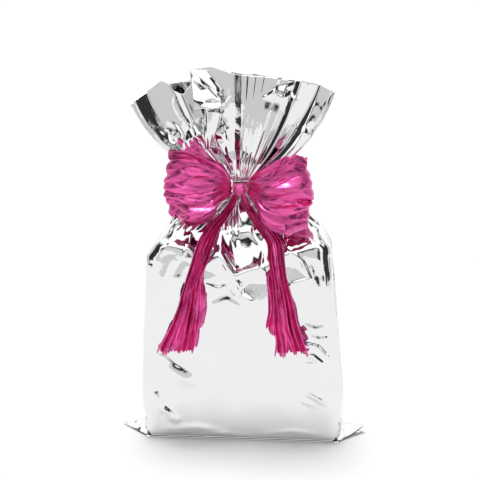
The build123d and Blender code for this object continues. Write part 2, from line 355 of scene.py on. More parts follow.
# ---------------------------------------------------------------- materials
class Finish:
    """A material on the Principled shader, with the few kinds of node that the finishes here share."""

    def __init__(self, name, values):
        self.material = bpy.data.materials.new(name)
        self.material.use_nodes = True
        self.nodes, self.links = self.material.node_tree.nodes, self.material.node_tree.links
        self.shader = self.nodes["Principled BSDF"]
        for socket, value in values.items():
            self.shader.inputs[socket].default_value = value

    def place(self, kind):
        return self.nodes.new("ShaderNodeTexCoord").outputs[kind]

    def noise(self, place, scale, detail):
        node = self.nodes.new("ShaderNodeTexNoise")
        node.inputs["Scale"].default_value, node.inputs["Detail"].default_value = scale, detail
        self.links.new(place, node.inputs["Vector"])
        return node.outputs["Fac"]

    def colour(self, value, low, high, low_at=0.0, high_at=1.0):
        """Base colour from low to high as value goes from low_at to high_at."""
        ramp = self.nodes.new("ShaderNodeValToRGB")
        for element, at, colour in zip(ramp.color_ramp.elements, (low_at, high_at), (low, high)):
            element.position, element.color = at, colour + (1,)
        self.links.new(value, ramp.inputs[0])
        self.links.new(ramp.outputs[0], self.shader.inputs["Base Color"])

    def roughness(self, value, low, high):
        node = self.nodes.new("ShaderNodeMapRange")
        node.inputs["To Min"].default_value, node.inputs["To Max"].default_value = low, high
        self.links.new(value, node.inputs["Value"])
        self.links.new(node.outputs[0], self.shader.inputs["Roughness"])

    def bump(self, height, strength, distance):
        node = self.nodes.new("ShaderNodeBump")
        node.inputs["Strength"].default_value = strength
        node.inputs["Distance"].default_value = distance
        self.links.new(height, node.inputs["Height"])
        self.links.new(node.outputs[0], self.shader.inputs["Normal"])


def film_material():
    """Mirror film: slightly hazy in patches, with a faint orange-peel grain."""
    finish = Finish("mirror_film", {"Metallic": 1.0})
    place = finish.place("Object")
    haze = finish.noise(place, 22, 4)
    finish.colour(haze, (0.79, 0.795, 0.80), (0.86, 0.862, 0.865))
    finish.roughness(haze, 0.035, 0.10)
    finish.bump(finish.noise(place, 260, 3), 0.10, 0.0006)
    return finish.material


def ribbon_material():
    """Fuchsia crinkled paper with a metallic sheen: fibres and fine creases run along the ribbon."""
    finish = Finish("fuchsia_paper", {
        "Metallic": 0.85, "Coat Weight": 0.45, "Coat Roughness": 0.28, "Coat IOR": 1.8,
    })
    place = finish.place("UV")

    def streaks(scale, detail):
        stretch = finish.nodes.new("ShaderNodeMapping")
        stretch.inputs["Scale"].default_value = scale
        finish.links.new(place, stretch.inputs["Vector"])
        return finish.noise(stretch.outputs[0], 1.0, detail)

    def math_node(kind, *inputs):
        node = finish.nodes.new("ShaderNodeMath")
        node.operation = kind
        for socket, value in zip(node.inputs, inputs):
            if isinstance(value, float):
                socket.default_value = value
            else:
                finish.links.new(value, socket)
        return node.outputs[0]

    fibre, patches = streaks((7, 80, 1), 6), streaks((4, 8, 1), 3)
    shade = math_node("MULTIPLY_ADD", patches, 0.85, math_node("MULTIPLY", fibre, 0.18))
    finish.colour(shade, (0.36, 0.003, 0.115), (0.95, 0.10, 0.44), 0.31, 0.66)
    finish.roughness(fibre, 0.18, 0.34)
    finish.bump(fibre, 0.2, 0.0006)
    return finish.material


def board_material():
    """Plain carton board with a paper grain."""
    finish = Finish("carton_board", {"Roughness": 0.85})
    grain = finish.noise(finish.place("Object"), 400, 5)
    finish.colour(grain, (0.62, 0.55, 0.45), (0.80, 0.74, 0.65))
    finish.bump(grain, 0.2, 0.0003)
    return finish.material


# ---------------------------------------------------------------- filled body of the bag
# height, centre x, width, depth, corner radius
BODY = np.array([
    (0.6, 0.0, 194, 51, 6), (2.5, 0, 196.5, 54.5, 9), (6, -0.2, 199, 57.5, 12),
    (14, 0.4, 199.8, 59.5, 13), (36, -0.4, 202, 61, 13), (80, -1.1, 196.5, 62, 13),
    (120, -1.8, 189.8, 62, 13), (160, -2.8, 184, 61.5, 13), (186, -3.4, 179, 61, 13),
    (194, -1.0, 173.5, 60.8, 13), (198.5, 0, 170.5, 60, 13), (201, 0.4, 168, 57.5, 13),
    (204.5, 0.7, 164, 51, 13), (215, 1.0, 150, 37, 12), (230, -0.8, 120, 25, 10),
    (239, -2, 66, 18, 8.4), (NECK_Z0, NECK_X, 15.5, 14.6, 7.2),
    (NECK_Z0 + 3, NECK_X, 13, 12.6, 6.2), (NECK_Z1 - 3, NECK_X, 13, 12.6, 6.2),
    (NECK_Z1, NECK_X, 15.5, 14.6, 7.2),
])


def half_outline(share, cx, width, depth, radius):
    """A point at a share of the way from the left weld round the front to the right weld."""
    straight_side, corner, face = depth / 2 - radius, math.pi * radius / 2, width - 2 * radius
    total = 2 * straight_side + 2 * corner + face
    s = np.minimum(share, 1 - share) * total
    sign = np.where(share <= 0.5, -1.0, 1.0)
    angle = np.clip((s - straight_side) / radius, 0, math.pi / 2)
    along = np.clip(s - straight_side - corner, 0, None)
    x = width / 2 - radius + radius * np.cos(angle) - along
    y = -np.minimum(s, straight_side) - radius * np.sin(angle)
    return cx + sign * x, y


def body_panel(side, rows_z, columns):
    """Smooth half of the body: side -1 is the front, 1 the back."""
    share = np.linspace(0, 1, columns)[None, :]
    section = [smooth_curve(rows_z, BODY[:, 0], BODY[:, k])[:, None] for k in range(1, 5)]
    x, y = half_outline(share, *section)
    grid = np.stack([x, -side * y, np.broadcast_to(rows_z[:, None], x.shape)], axis=2)
    return grid, share


# Creases in front of the neck and on the shoulders: x, z, height above the smooth film
FRONT_CREASES = [
    (-20, 190, 3.2), (-7, 169.5, 4.2), (20, 179, 3.6), (10.6, 145, 3.0), (-36, 165, 2.4),
    (-22, 171, 0.2), (-14, 160, -0.8), (2, 214, 2.4), (-14, 206, 1.0), (8, 208, 1.8),
    (24, 197, 0.4), (10, 192, 3.2), (3, 182, 3.6), (26, 163, 0.2), (28, 148, 1.6), (8, 163, -1.2),
    (0, 156, 0.2), (-28, 152, -0.4), (-57, 187, 0.8), (-50, 200, -1.6), (-47, 187, 1.8),
    (-36, 192, -0.5), (-40, 178, 0.2), (43, 198, 0.8), (66, 169, 1.6), (47, 163, 0.8),
    (58, 188, 1.8), (52, 180, -1.4), (34, 182, -0.6), (36, 208, 1.0), (-34, 212, 1.2),
    (-66, 206, 0.6), (64, 208, 0.9), (0, 136, 0.0), (-18, 140, 0.2), (22, 134, 0.1), (-50, 150, 0),
    (48, 142, 0), (-70, 168, 0), (76, 150, 0), (-80, 190, 0), (82, 190, 0), (0, 118, 0),
    (-40, 120, 0), (40, 118, 0), (-80, 130, 0), (80, 120, 0),
]
# The shoulder's fold dips towards the middle, below the tie: x, depth
FRONT_DIP = [
    (-110, 0), (-62, 0), (-50, 2), (-44, 9), (-36, 16), (-26, 9), (-20, 8), (-7, 28), (6, 24),
    (20, 20), (30, 16), (40, 5), (54, 3), (70, 0), (110, 0),
]
BACK_DIP = [
    (-110, 0), (-70, 0), (-52, 5), (-38, 3), (-16, 22), (-2, 12), (12, 26), (30, 8), (46, 12),
    (62, 0), (110, 0),
]
# Single creases of the front: half width, height, then the points (x, z) it runs through
FRONT_LINES = [
    (3.4, 2.2, [(-20, 190), (-14, 180), (-7, 169.5)]),
    (3.2, 2.0, [(-7, 169.5), (7, 175), (20, 179)]),
    (3.4, 2.2, [(-6, 166.6), (-1, 160), (0, 152), (10.6, 145)]),
    (2.2, -1.0, [(-36, 165), (-22, 160), (-7, 167)]),
    (2.4, 1.2, [(43, 198), (58, 186), (66, 169), (47, 163)]),
    (2.2, 1.0, [(-57, 187), (-52, 198), (-44, 188)]),
    (2.0, 1.0, [(-14, 204), (6.6, 211), (20, 195)]), (2.4, 1.1, [(20, 195), (20, 179), (26, 166)]),
    (9.0, 2.1, [(-80, 90), (-73, 76), (-60, 66), (-43, 60)]),
    (4.0, -0.6, [(-76, 94), (-64, 80), (-52, 74)]), (3.0, 1.2, [(-92, 78), (-88, 67), (-82, 61)]),
    (6.0, 2.7, [(-86, 50), (-80, 32), (-62, 18)]), (3.4, -1.2, [(-84, 42), (-78, 27), (-68, 24)]),
    (3.2, 1.35, [(50, 99), (60, 104), (74, 101), (84, 90), (85, 80)]),
    (3.0, 1.2, [(56, 92), (69, 92), (79, 84), (80, 76)]),
    (2.2, 0.9, [(48, 96), (58, 96), (70, 97)]), (2.2, -0.8, [(60, 86), (70, 86), (75, 80)]),
    (3.4, 1.15, [(62, 54), (75, 47), (86, 41)]), (2.6, 0.8, [(58, 46), (66, 42), (74, 40)]),
    (4.0, 0.9, [(60, 123), (72, 118), (82, 121)]), (3.4, 0.8, [(64, 112), (76, 108), (87, 110)]),
    (5.0, 0.6, [(-88, 118), (-85, 150), (-87, 180)]),
    (7.0, 0.9, [(-78, 138), (-75, 168), (-66, 188)]), (5.0, 0.7, [(84, 122), (82, 150), (81, 178)]),
    (4.4, 0.7, [(73, 138), (73, 160), (66, 182)]), (2.4, 0.5, [(90, 128), (87, 150), (85, 176)]),
    (6.0, 1.1, [(-62, 150), (-60, 168), (-52, 182)]),
    (4.0, 0.7, [(-30, 140), (-14, 146), (2, 137)]), (4.0, 0.6, [(14, 139), (30, 142), (42, 133)]),
    (3.6, 0.6, [(-44, 150), (-34, 156), (-28, 148)]), (6.0, 1.0, [(-80, 9), (-44, 13), (-10, 7)]),
    (4.0, 0.7, [(16, 7), (50, 12), (84, 8)]), (3.0, 0.6, [(-40, 5), (-16, 8), (12, 5)]),
]
UNDER_BOW = 7  # so many of them cross the crushed place under the bow, which the back doesn't have
BAG_X = (-110, 105)
# How deep the pleats at the tie are at each height
PLEAT_DEPTH = np.array([
    (0, 0), (205, 0), (220, 0.8), (232, 2.4), (240, 2.4), (247, 1.1), (258, 1.1), (260, 1.4),
])


def lines(x, z, creases):
    """Folded creases: each is a roof of its half width along its points, and runs out at the ends."""
    total = np.zeros(np.broadcast(x, z).shape)
    for width, height, points in creases:
        points = np.array(points, float)
        lengths = np.linalg.norm(np.diff(points, axis=0), axis=1)
        best, place, start = np.full(total.shape, 1e9), np.zeros(total.shape), 0.0
        for (ax, az), (bx, bz), length in zip(points[:-1], points[1:], lengths):
            t = np.clip(((x - ax) * (bx - ax) + (z - az) * (bz - az)) / length ** 2, 0, 1)
            gap = np.hypot(x - ax - t * (bx - ax), z - az - t * (bz - az))
            place = np.where(gap < best, (start + t * length) / lengths.sum(), place)
            best, start = np.minimum(best, gap), start + length
        taper = np.clip(4 * place * (1 - place), 0.0, 1) ** 0.6
        total = total + height * np.clip(1 - best / width, 0, 1) * taper
    return total


def body_film(side):
    rows_z = np.concatenate([
        np.linspace(0.6, 14, 12)[:-1], np.linspace(14, 120, 76)[:-1], np.linspace(120, 236, 124)[:-1],
        np.linspace(236, NECK_Z1, 22),
    ])
    grid, share = body_panel(side, rows_z, columns=251)
    x, z = grid[..., 0], grid[..., 2]
    seed = 11 if side < 0 else 47
    from_weld = np.minimum(share, 1 - share)
    on_face = step(0.03, 0.14, from_weld)
    # the shoulder's fold wanders up and down
    sag = 2.6 * waves(seed + 6, x, 0 * z, 46)
    sag = sag + 1.4 * creased(seed + 7, x, z, BAG_X, (180, 225), 13)
    grid[..., 2] += sag * step(176, 196, z) * step(226, 210, z)
    dip = np.interp(x, *np.array(FRONT_DIP if side < 0 else BACK_DIP, float).T)
    grid[..., 2] -= blur(dip, 0, 0.8) * step(142, 188, z) * step(240, 205, z)
    x, z = grid[..., 0], grid[..., 2].copy()
    # soft swell of the filled film, and slow undulation that streaks what it mirrors
    lift = 0.45 * waves(seed, x * 1.5, z * 0.55, 62) * step(10, 60, z) * step(215, 170, z)
    lift = lift + 0.16 * waves(seed + 1, x * 2.2, z * 0.35, 30) * step(60, 150, z)
    # long shallow folds down the narrow sides
    on_side = step(0.135, 0.105, from_weld) * step(0, 0.02, from_weld)
    long_folds = creased(seed + 8, grid[..., 1] * 1.6, z * 0.42, (-60, 60), (0, 100), 13)
    lift = lift + 1.5 * on_side * long_folds
    # facets gather towards the tie
    near_tie = step(150, 196, z) * step(245, 236, z)
    small = creased(seed + 2, x, z, BAG_X, (130, 250), 15)
    if side < 0:
        crush = 0.55 * facets(x, z, FRONT_CREASES)
        single = lines(x, z, FRONT_LINES)
    else:
        crush = creased(seed + 3, x, z, BAG_X, (110, 250), 27, 3.0) * step(120, 175, z)
        single = lines(-x, z, FRONT_LINES[UNDER_BOW:])
    crush = blur(crush * step(240, 226, z) + 0.55 * small * near_tie, 0.6, 0.6)
    lift = lift + crush * (0.55 + 0.45 * on_face)
    lift = lift + blur(single, 0.5, 0.5) * on_face
    # pleats drawn together by the ribbon
    around = np.broadcast_to(share * 9.5 + 0.45 * waves(seed + 4, share * 40, z * 0.1, 9), x.shape)
    pleat = np.abs(zigzag(around)) - 0.5
    depth = smooth_curve(rows_z, PLEAT_DEPTH[:, 0], PLEAT_DEPTH[:, 1])[:, None]
    lift = lift + depth * blur(pleat, 0, 0.8)
    return grid - side * normals(grid) * lift[..., None]


# ---------------------------------------------------------------- open ruffle above the tie
# Folds where they reach the cut edge, from weld to weld: x, y, z, and how far the fold bows in x and
# y on its way up
FRONT_FOLDS = [
    (-107, 0, 332, 0, 0), (-102.5, -17.5, 336, 0, 0), (-92.5, -7.2, 343.6, 0, 0),
    (-77.4, -7.5, 354.7, 0, 0), (-70.4, -8, 351.6, 0, 0), (-66, -6.5, 345, 0, 0),
    (-59, -8.5, 342, 0, 0), (-57, -6.5, 342, 0, 0), (-50, 1, 352, 0, 0), (-46, -17, 366, 0, 0),
    (-29.5, -18, 368.3, 0, 0), (-7.2, -19.6, 361, -5, 0), (-1.2, -14.6, 360, 5, 6),
    (4.4, -14.4, 359.6, 0, 0), (5.8, -14.0, 359.4, 0, 0), (12, -14.5, 359, 0, 0),
    (13.2, -14.2, 358.9, 0, 0), (20, -14.8, 358.4, 0, 0), (21, -14.5, 358.3, 0, 0),
    (26.7, -15, 358, 0, 0), (33, -16.5, 357, 0, 0), (36, -13.8, 356.6, 0, 0),
    (43, -15, 355.6, 0, 0), (49.5, -11, 355, -3, 2), (55, -14.2, 354.7, 3, -2),
    (71.5, -8.5, 351, -14, 5.5), (73.5, -10, 351.4, 14, -13), (83.6, -11, 345.6, 4, -3),
    (85, 0, 344, 4, 0),
]
BACK_FOLDS = [
    (-107, 0, 332, 0, 0), (-99, 14, 340, 0, 0), (-88, 5, 345, 0, 0), (-76, 22, 350, 0, 0),
    (-60, 12, 353, 0, 0), (-47, 25, 356, 0, 0), (-33, 26, 359, 0, 0), (-27, 10, 360, 0, 0),
    (-12, 22, 362, 0, 0), (0, 26, 360, 0, 0), (8, 9, 361, 0, 0), (24, 20, 357, 0, 0),
    (38, 27, 356, 0, 0), (45, 12, 355, 0, 0), (58, 22, 352, 0, 0), (70, 10, 350, 0, 0),
    (80, 15, 346, 0, 0), (85, 0, 344, 0, 0),
]
# Crumpled places of the fan's front: x, z, height
FAN_CREASES = [
    (10, 283, 0), (17.6, 275, 0.6), (45, 289, 0), (61, 294, 0), (64, 336, 0), (40, 322, 0),
    (24, 300, 0.6), (72, 330, 0), (-72, 287, 0), (-62, 299, 3), (-52, 290, 1), (-57, 305, 1),
    (-45, 303, 5), (-38, 291, 1.5), (-46, 312, 1.5), (-33, 307, 5), (-30, 293, 0.5), (-25, 300, 4),
    (-20, 286, 1), (-14, 296, 1), (-25, 318, 0.5), (-66, 310, 0), (-85, 310, 0), (-84, 330, 0.6),
    (-60, 325, 0.5), (-12, 312, 0), (-8, 280, 2), (-4, 290, 0), (0, 300, 0), (2, 275, 2.4),
    (-10, 335, 0.6), (8, 332, 0.4), (16, 338, -0.4), (30, 344, 1.4), (34, 334, -0.8),
    (39, 348, 0.2), (41, 338, 1.2), (33, 350, -0.6), (46, 345, -0.4), (48, 334, 0.6), (70, 345, 0),
    (76, 318, 1.6), (70, 306, -0.8), (78, 336, -0.5), (66, 300, 1.2), (-98, 325, 0), (-10, 262, 0),
    (5, 262, 0), (-110, 300, 0), (90, 300, 0), (-120, 380, 0), (0, 380, 0), (100, 380, 0),
    (-50, 355, 0), (-80, 356, 0), (60, 356, 0), (90, 345, 0),
]
# Single creases of the fan's front, like those of the body
FAN_LINES = [
    (1.6, 0.35, [(-12, 272), (-17, 310), (-24, 345)]), (1.4, 0.30, [(-2, 285), (4, 320), (9, 352)]),
    (1.4, -0.3, [(4, 285), (12, 325), (17, 352)]), (2.4, 0.9, [(34, 338), (44, 343), (50, 336)]),
    (2.0, -0.8, [(30, 348), (38, 340), (46, 346)]),
    (2.2, 0.8, [(-60, 318), (-66, 332), (-64, 344)]),
    (2.0, -0.6, [(66, 300), (76, 318), (74, 334)]),
    (1.8, 0.5, [(-22, 330), (-12, 342), (-10, 356)]),
]
RUFFLE_STEP = 1.1  # between the columns of its mesh, at the cut edge
RUFFLE_LENGTH = 112.0  # from the tie to the cut edge, along the film
NECK_RADIUS = 6.9


def ruffle_film(side, folds, rows=110):
    tops = np.array(folds, float)
    widths = np.linalg.norm(np.diff(tops[:, :3], axis=0), axis=1)
    counts = np.maximum(3, np.round(widths / RUFFLE_STEP)).astype(int)
    index = [k + np.arange(count) / count for k, count in enumerate(counts)]
    index = np.concatenate(index + [[len(folds) - 1]])
    ids = np.arange(len(folds))
    top = np.stack([np.interp(index, ids, tops[:, a]) for a in range(3)], axis=1)
    bow = np.stack([np.interp(index, ids, tops[:, a]) for a in (3, 4)], axis=1)
    angle = math.pi * index / ids[-1]
    pleat = 1 + 0.10 * np.where(ids % 2 == 0, 1, -1)
    radius = NECK_RADIUS * np.interp(index, ids, pleat)
    neck_x, neck_y = NECK_X - radius * np.cos(angle), side * radius * np.sin(angle)
    neck = np.stack([neck_x, neck_y, np.full(len(index), NECK_Z1)], axis=1)
    spread = np.clip(np.abs(top[:, 0] - NECK_X) / 95, 0, 1) ** 1.5
    t = np.linspace(0, 1, rows)[:, None, None]
    # the outer folds leave the neck sideways and then turn up
    share = np.stack([0.5 + 0.24 * spread, 0.85 + 0 * spread, 0.5 - 0.27 * spread], axis=1)
    bend = neck + (top - neck) * share
    grid = (1 - t) ** 2 * neck + 2 * t * (1 - t) * bend + t * t * top
    # 6.75 makes the curve of the bow peak at 1
    grid[..., :2] += 0.55 * bow * 6.75 * t * (1 - t) ** 2
    grid = blur(grid, 0, 0.45)
    # creases across the folds, and fine lines along them
    u = np.concatenate([[0], np.cumsum(np.linalg.norm(np.diff(top, axis=0), axis=1))])[None, :]
    v = t[..., 0] * RUFFLE_LENGTH
    seed = 71 if side < 0 else 83
    lift = 0.30 * creased(seed, u, v, (0, u.max()), (0, RUFFLE_LENGTH), 23)
    lift = lift + 0.10 * creased(seed + 1, u, v * 0.3, (0, u.max()), (0, 34), 5)
    if side < 0:
        x, z = grid[..., 0], grid[..., 2]
        lift = lift + facets(x, z, FAN_CREASES)
        crushed = step(-78, -68, x) * step(-12, -20, x) * step(324, 312, z) * step(284, 296, z)
        lift = lift + 1.7 * crushed * creased(8, x, z, (-80, -10), (270, 330), 9)
        lift = lift + lines(x, z, FAN_LINES)
    else:
        lift = lift + 1.5 * creased(seed + 2, grid[..., 0], grid[..., 2], (-115, 95), (255, 375), 24)
    lift = blur(lift, 0.6, 0.6) * step(0.03, 0.2, t[..., 0])
    return grid + normals(grid) * lift[..., None] * (1 if side < 0 else -1)


def mouth_weld(edge, side):
    """The two panels welded at the side of the open mouth: a narrow fin outside the edge."""
    out = np.linspace(-0.6, 2.8, 5)[None, :, None]
    along = np.gradient(edge, axis=0)
    away = np.stack([along[:, 2], 0 * along[:, 1], -along[:, 0]], axis=1) * side
    away /= np.linalg.norm(away, axis=1, keepdims=True)
    grid = edge[:, None, :] + out * away[:, None, :]
    wander = 0.35 * waves(15 + side, grid[..., 2], 3 * out[..., 0], 26)
    grid[..., 1] += wander * np.clip(out[..., 0], 0, 3) / 2.8
    return grid[6:]


def patch(corners, rows, columns, seed, cell, height, bulge):
    """A small crumpled patch; its corners run lower left, lower right, upper right, upper left."""
    a, b, c, d = (np.array(p, float) for p in corners)
    s, t = np.linspace(0, 1, columns)[None, :, None], np.linspace(0, 1, rows)[:, None, None]
    grid = (1 - s) * (1 - t) * a + s * (1 - t) * b + s * t * c + (1 - s) * t * d
    width, length = np.linalg.norm(b - a), np.linalg.norm(d - a)
    lift = height * creased(seed, s[..., 0] * width, t[..., 0] * length, (0, width), (0, length), cell)
    lift = lift + bulge * np.sin(math.pi * s[..., 0]) * np.sin(math.pi * t[..., 0]) ** 0.7
    return grid + normals(grid) * blur(lift, 0.5, 0.5)[..., None]


def flap_film():
    """A corner of the mouth folded down over the front, with the shadowed slope beside its fold."""
    sheet = [(-44, -31, 329), (-17.5, -30, 330), (-20.5, -25.5, 343), (-48.5, -22.5, 365)]
    slope = [(-20.5, -25.7, 343), (-17.5, -21, 345.5), (-33, -21, 364), (-48.5, -22.6, 365.2)]
    return [
        patch(sheet, rows=34, columns=30, seed=4, cell=9, height=1.7, bulge=1.5),
        patch(slope, rows=12, columns=30, seed=6, cell=7, height=0.4, bulge=0.8),
    ]


def cup_film():
    """A fold of film that stands open like a cup above the left loop."""
    s, t = np.linspace(0, 1, 34)[None, :], np.linspace(0, 1, 40)[:, None]
    turn = (s - 0.5) * math.radians(230)
    radius = 2.0 + 6.8 * t ** 0.8 + 0.5 * zigzag(s * 3 + t)
    x = -33 + 6 * t + radius * np.sin(turn)
    y = -21 - 2.5 * t - 0.75 * radius * np.cos(turn) * (1 - 0.3 * t)
    z = 291 + 34 * t + 1.5 * np.cos(turn * 1.3) * t
    return np.stack([x, y, z], axis=2)


# ---------------------------------------------------------------- welds and ears
WELD_RIB = 2.4  # pitch of the ribs that the welding bar leaves
EAR_X, EAR_Y = (90, 130), (-30, 30)


def side_weld(side, heights, edge_x, reach):
    """Two films welded flat: a thin fin that stands out of the side."""
    out = np.linspace(-1.0, reach, 6)[None, :]
    z = heights[:, None]
    x = edge_x[:, None] + side * out
    wander = 0.7 * waves(5 + side, z + 0 * out, 3 * out, 34) * step(-1, reach, out)
    y = wander + 0.12 * zigzag(z / WELD_RIB)
    return np.stack([x + 0 * z, y + 0 * x, z + 0 * x], axis=2)


def ear_film(side):
    """Folded bottom corner: the lower film lies flat and the upper one rises to the bag's side."""
    p = np.linspace(0, 1, 44)[:, None]
    q = np.linspace(-1, 1, 71)[None, :]
    root, half_length = 96.5, 26.5
    x = root + p * (EAR_TIP - root)
    y = q * half_length * (1 - p) + 0 * x
    rise = (1 - p) ** 1.6 * (1 - np.abs(q) ** 1.5)
    lift = 2.8 * creased(90 + side, x, y, EAR_X, EAR_Y, 8)
    lift = blur(lift + 0.9 * creased(93 + side, x, y, EAR_X, EAR_Y, 4), 0.5, 0.5)
    rim = np.clip(1 - np.abs(q), 0, 1) ** 0.4 * np.clip(1 - p, 0, 1) ** 0.4
    top = 1.3 + 10 * rise + np.maximum(lift * rim, -0.8)
    curl = (8.0 if side > 0 else 1.0) * p ** 1.8 + 0.8 * np.abs(q) ** 6 * (1 - p)
    upper = np.stack([side * x + 0 * q, y, top + curl + 0 * q], axis=2)
    lower = np.stack([side * x + 0 * q, y, 0.25 + curl + 0 * q], axis=2)
    return upper, lower


def bottom_film(side):
    """Half of the underside, as far as the bottom weld."""
    half_width, half_depth = 98, 27
    x = np.linspace(-half_width, half_width, 99)[:, None]
    y = np.linspace(0, half_depth, 16)[None, :] * side
    z = 0.35 + 0.2 * np.abs(zigzag(x / 60 + 0.01 * y)) * (1 - np.abs(y) / half_depth)
    return np.stack([x + 0 * y, y + 0 * x, z], axis=2)


def seam_film():
    """The weld across the underside, ribbed like the others."""
    x = np.linspace(-120, 120, 121)[:, None]
    y = np.linspace(-2, 2, 5)[None, :]
    return np.stack(np.broadcast_arrays(x, y, 0.25 + 0.12 * zigzag(x / WELD_RIB)), axis=2)


# ---------------------------------------------------------------- bow
PIVOT_Y = -16.0  # the root of the loops
ROOT_REACH = 8.4  # from the middle of the knot to the root of a loop
LOOP_FAR_Y = -31.0  # the middle of a loop at its far end
# Edges of the loops seen from the front: distance out from the knot (share), upper z, lower z
LEFT_LOOP = [
    (0, 258, 248), (0.05, 267, 246), (0.12, 274.5, 243.5), (0.3, 282.5, 236), (0.55, 289.3, 230),
    (0.85, 292.3, 227), (1, 289.5, 228.5),
]
RIGHT_LOOP = [
    (0, 258, 248), (0.05, 264.5, 245), (0.12, 269, 239.5), (0.3, 275.5, 225), (0.55, 284, 217.5),
    (0.8, 287.8, 214.5), (1, 285, 217),
]
# Where the turn of the loop lies at each height: z, x
LEFT_TURN = [
    (222, -63.5), (227, -65.4), (233, -67), (244, -69), (256, -71.6), (267, -70.5), (275, -68.4),
    (295, -68),
]
RIGHT_TURN = [
    (212, 59), (222, 61.6), (233, 62.5), (240, 65), (256, 66.6), (267, 64.6), (275, 60), (290, 58),
]


def loop_film(side, edges, turn_x, drop, drop_from):
    """A ribbon that leaves the knot, turns at its far end and comes back behind.

    drop is how far the part behind hangs below the front, from the share drop_from of the way out."""
    root_x = NECK_X + side * ROOT_REACH
    turn = np.linspace(0, 2 * math.pi, 231)[None, :]
    share = (1 - np.cos(turn)) / 2
    front = np.cos(turn / 2)
    across = np.linspace(0, 1, 104)[:, None]
    edges, turn_x = np.array(edges), np.array(turn_x)
    upper = smooth_curve(share, edges[:, 0], edges[:, 1])
    lower = smooth_curve(share, edges[:, 0], edges[:, 2])
    behind = step(0.35, -0.75, front)
    droop = step(drop_from, drop_from + 0.2, share) * step(0.96, 0.75, share)
    lower = lower - drop * behind * droop
    upper = upper - 5 * behind * share
    z = lower + (upper - lower) * across
    far_x = smooth_curve(z, turn_x[:, 0], turn_x[:, 1])
    middle = PIVOT_Y + (LOOP_FAR_Y - PIVOT_Y) * share - 7.0 * 4 * share * (1 - share)
    half = 11.0 * np.sin(np.clip(share, 0, 1) ** 0.75 * math.pi) ** 0.62
    half = half * np.where(np.sin(turn) < 0, -1, 1)
    x = root_x + (far_x - root_x) * share
    bow = 4.0 * (1 - (2 * across - 1) ** 2) * share
    y = middle - half - bow * np.sign(half) * 0.8 + 0 * z
    # the lower edge in front stands off the tail that swings up behind it
    hem = (1 - across) ** 2.5 * step(0.08, 0.25, share) * step(0.92, 0.62, share) * (front > 0)
    y = y - 10.8 * hem
    grid = np.stack([x, y, z], axis=2)
    seed = 130 + 10 * side
    # roughly the way along the ribbon and across it, in mm
    s_mm, b_mm = turn * 22 + 0 * z, across * 74 + 0 * x
    wander = 5.0 * waves(seed + 5, s_mm, b_mm, 50)
    big = creased(seed, s_mm * 0.42, b_mm + wander, (0, 60), (-10, 84), 11.5)
    mid = creased(seed + 1, s_mm * 0.36, b_mm + wander, (0, 54), (-10, 84), 5.2)
    fine = creased(seed + 2, s_mm * 0.5, b_mm, (0, 72), (0, 74), 2.4)
    fold = np.abs(zigzag(across * 3.1 + 0.22 * waves(seed + 3, s_mm, b_mm, 70))) ** 0.6
    size = (0.22 + 0.78 * step(0, 0.5, share)) * (1 - 0.5 * behind)
    lift = (4.6 * big + 1.5 * mid + 0.2 * fine + 2.2 * fold) * size
    grid = grid + normals(grid) * (lift * (1 - 0.7 * hem))[..., None] * side
    rim = 0.9 * waves(seed + 4, s_mm, b_mm * 0, 9)
    rim = rim + 0.7 * creased(seed + 6, s_mm, b_mm * 0, (0, 140), (-9, 9), 4.5)
    grid[..., 2] += rim * (np.abs(2 * across - 1) ** 6) * share
    return grid


# Tails: height, left edge, right edge. Each has a long main fold and a shorter inner one behind it
LEFT_TAIL = [
    (248, -8.5, -3.4), (237, -14.5, -6.5), (225, -25, -13.5), (215, -34.5, -20.5),
    (201.6, -42.5, -26), (186, -47, -31), (170, -52, -36.5), (154, -57, -38.5), (138, -61.5, -40),
    (122, -68.4, -42), (106, -76.5, -43.5), (95, -82, -45.5),
]
LEFT_INNER = [
    (182, -47, -36), (170, -48, -36), (154, -50, -34.6), (140, -52, -33.6), (126, -54, -36),
    (110, -57, -40),
]
RIGHT_TAIL = [
    (248, -1.6, 3.5), (237, 0.8, 8.2), (226, 7, 18), (215, 15, 31), (201.6, 25, 40), (186, 27, 42),
    (170, 29.8, 44.2), (154, 31, 48.2), (138, 31.5, 52.2), (122, 32, 56.2), (106, 34, 62),
    (95, 33, 66),
]
RIGHT_INNER = [
    (182, 31, 40), (170, 24.5, 38), (154, 26, 40), (138, 26.6, 42), (124, 24.6, 41), (108, 24, 43),
]
# How far forward the tails hang at each height: z, y
DRAPE = [
    (248, -17.4), (236, -17.4), (226, -19.6), (212, -25), (196, -32), (180, -35.2), (140, -36.2),
    (92, -36.8),
]


